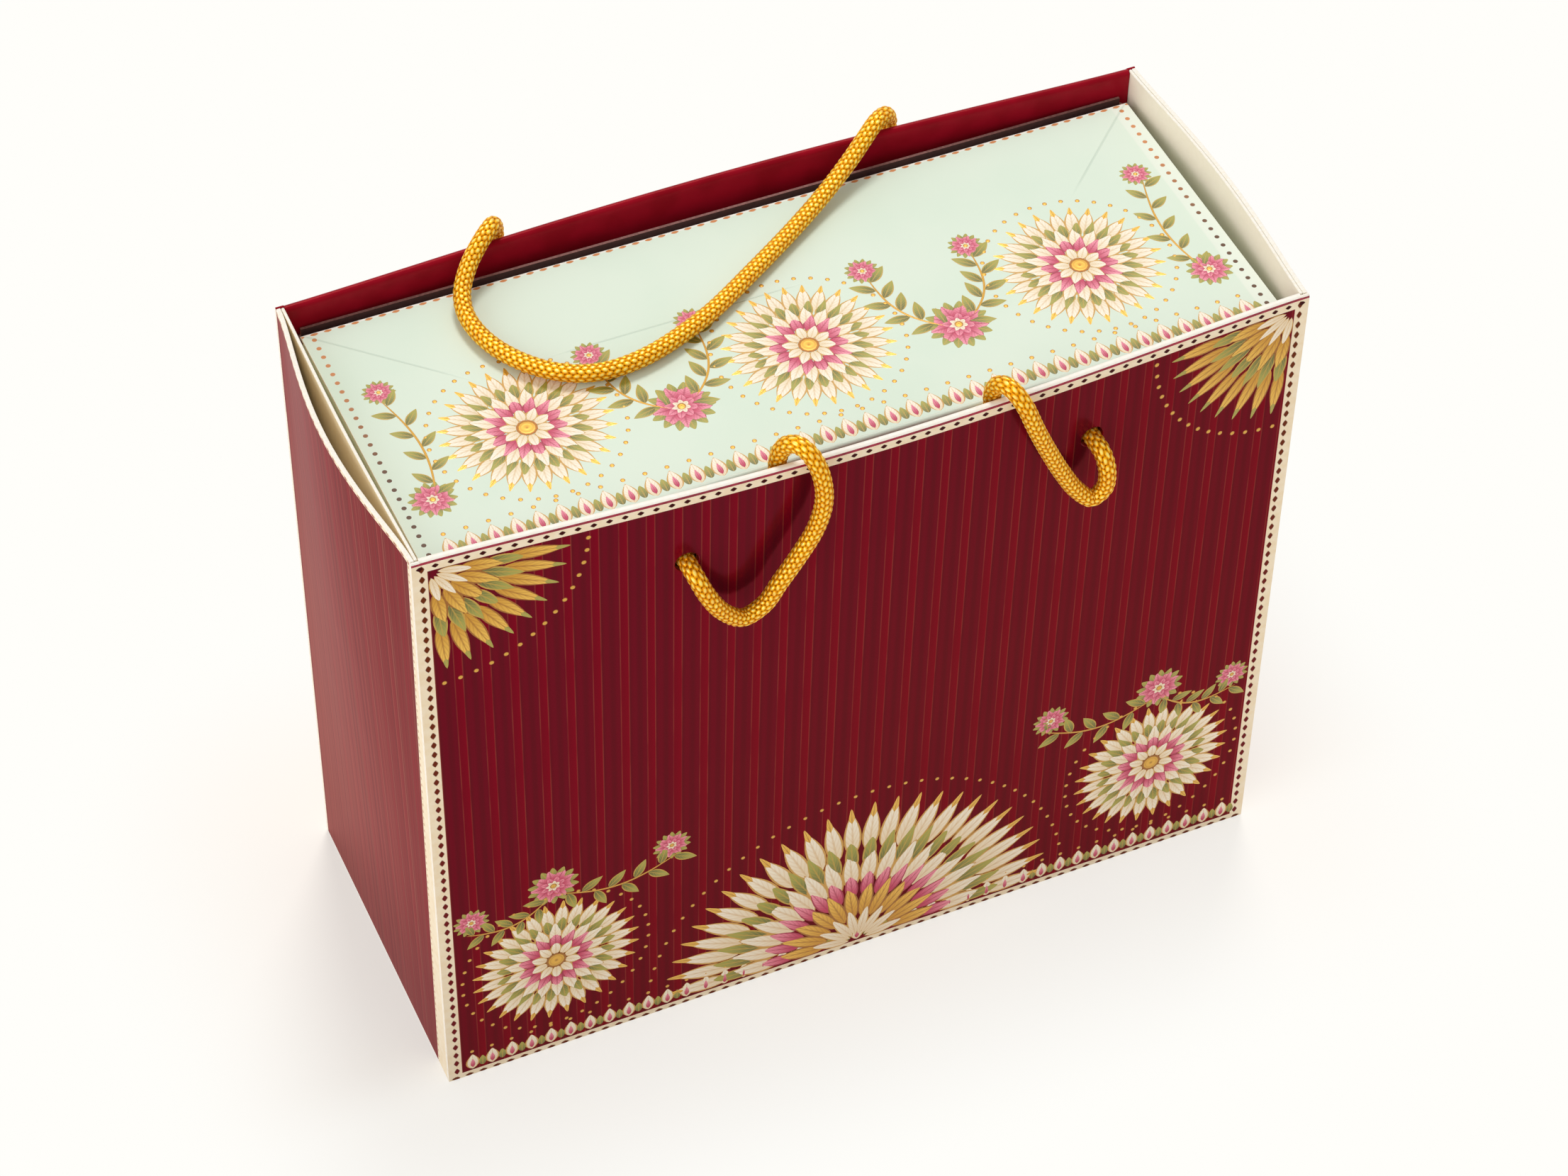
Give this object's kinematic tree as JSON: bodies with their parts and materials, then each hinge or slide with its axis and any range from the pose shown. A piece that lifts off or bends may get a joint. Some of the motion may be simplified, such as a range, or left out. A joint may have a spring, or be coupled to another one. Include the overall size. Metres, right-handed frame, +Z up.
{
  "type": "hamper box",
  "caption": "Open-topped printed paperboard carrier with braided rope handles, holding a lift-out tuck-end carton whose lid and dust flaps fold open.",
  "frame": {"origin": "on the floor, at the bottom centre of the box around the carrier", "axes": "+X along the long side, +Z up, the front wall faces -Y"},
  "size_m": [0.314, 0.1514, 0.2644],
  "materials": {
    "printed_board": "satin maroon print with fine stripes and a dotted cream border",
    "lining_paper": "matte beige liner",
    "base_board": "matte raw board",
    "mint_board": "satin mint print with gold ornament",
    "gold_cord": "shiny braided gold yarn",
    "clip_metal": "satin"
  },
  "bodies": {
    "carrier": {"front_panel": "printed_board", "back_panel": "printed_board", "left_side_panel": "printed_board", "right_side_panel": "printed_board", "front_rim_hem": "printed_board", "back_rim_hem": "printed_board", "left_side_lining": "lining_paper", "right_side_lining": "lining_paper", "base_panel": "base_board", "base_card": "base_board", "front_left_cord_clip": "clip_metal", "front_right_cord_clip": "clip_metal", "rear_left_cord_clip": "clip_metal", "rear_right_cord_clip": "clip_metal", "front_handle_cord": "gold_cord", "rear_cord_left_end": "gold_cord", "rear_cord_right_end": "gold_cord"},
    "carton": {"carton_front_wall": "mint_board", "carton_back_wall": "mint_board", "carton_left_wall": "mint_board", "carton_right_wall": "mint_board", "carton_glue_tab": "mint_board", "carton_base_panel": "mint_board", "carton_base_tuck_flap": "mint_board", "carton_base_left_flap": "mint_board", "carton_base_right_flap": "mint_board"},
    "lid": {"lid_panel": "mint_board", "lid_tuck_flap": "mint_board"},
    "left_flap": {"left_dust_flap": "mint_board"},
    "right_flap": {"right_dust_flap": "mint_board"},
    "rear_handle": {"rear_handle_loop": "gold_cord"}
  },
  "joints": [
    {"name": "carton_lift", "type": "slide", "parent": "carrier", "child": "carton", "axis": [0, 0, 1], "range_m": [0, 0.27], "deforming": ["rear_handle_loop"]},
    {"name": "lid_fold", "type": "hinge", "parent": "carton", "child": "lid", "pos_m": [0.0015, -0.0566, 0.245], "axis": [1, 0, 0], "range_deg": [0, 95], "deforming": ["rear_handle_loop"]},
    {"name": "left_flap_fold", "type": "hinge", "parent": "carton", "child": "left_flap", "pos_m": [-0.1455, 0.001, 0.2437], "axis": [0, -1, 0], "range_deg": [0, 84], "deforming": ["rear_handle_loop"]},
    {"name": "right_flap_fold", "type": "hinge", "parent": "carton", "child": "right_flap", "pos_m": [0.1485, 0.001, 0.2437], "axis": [0, 1, 0], "range_deg": [0, 84], "deforming": ["rear_handle_loop"]},
    {"name": "rear_handle_swing", "type": "hinge", "parent": "carrier", "child": "rear_handle", "pos_m": [0, 0.0665, 0.254], "axis": [-1, 0, 0], "range_deg": [0, 95], "deforming": ["rear_handle_loop"]}
  ],
  "couplings": [
    {"joint": "left_flap_fold", "follows": "lid_fold", "ratio": 0.88},
    {"joint": "right_flap_fold", "follows": "lid_fold", "ratio": 0.88}
  ]
}
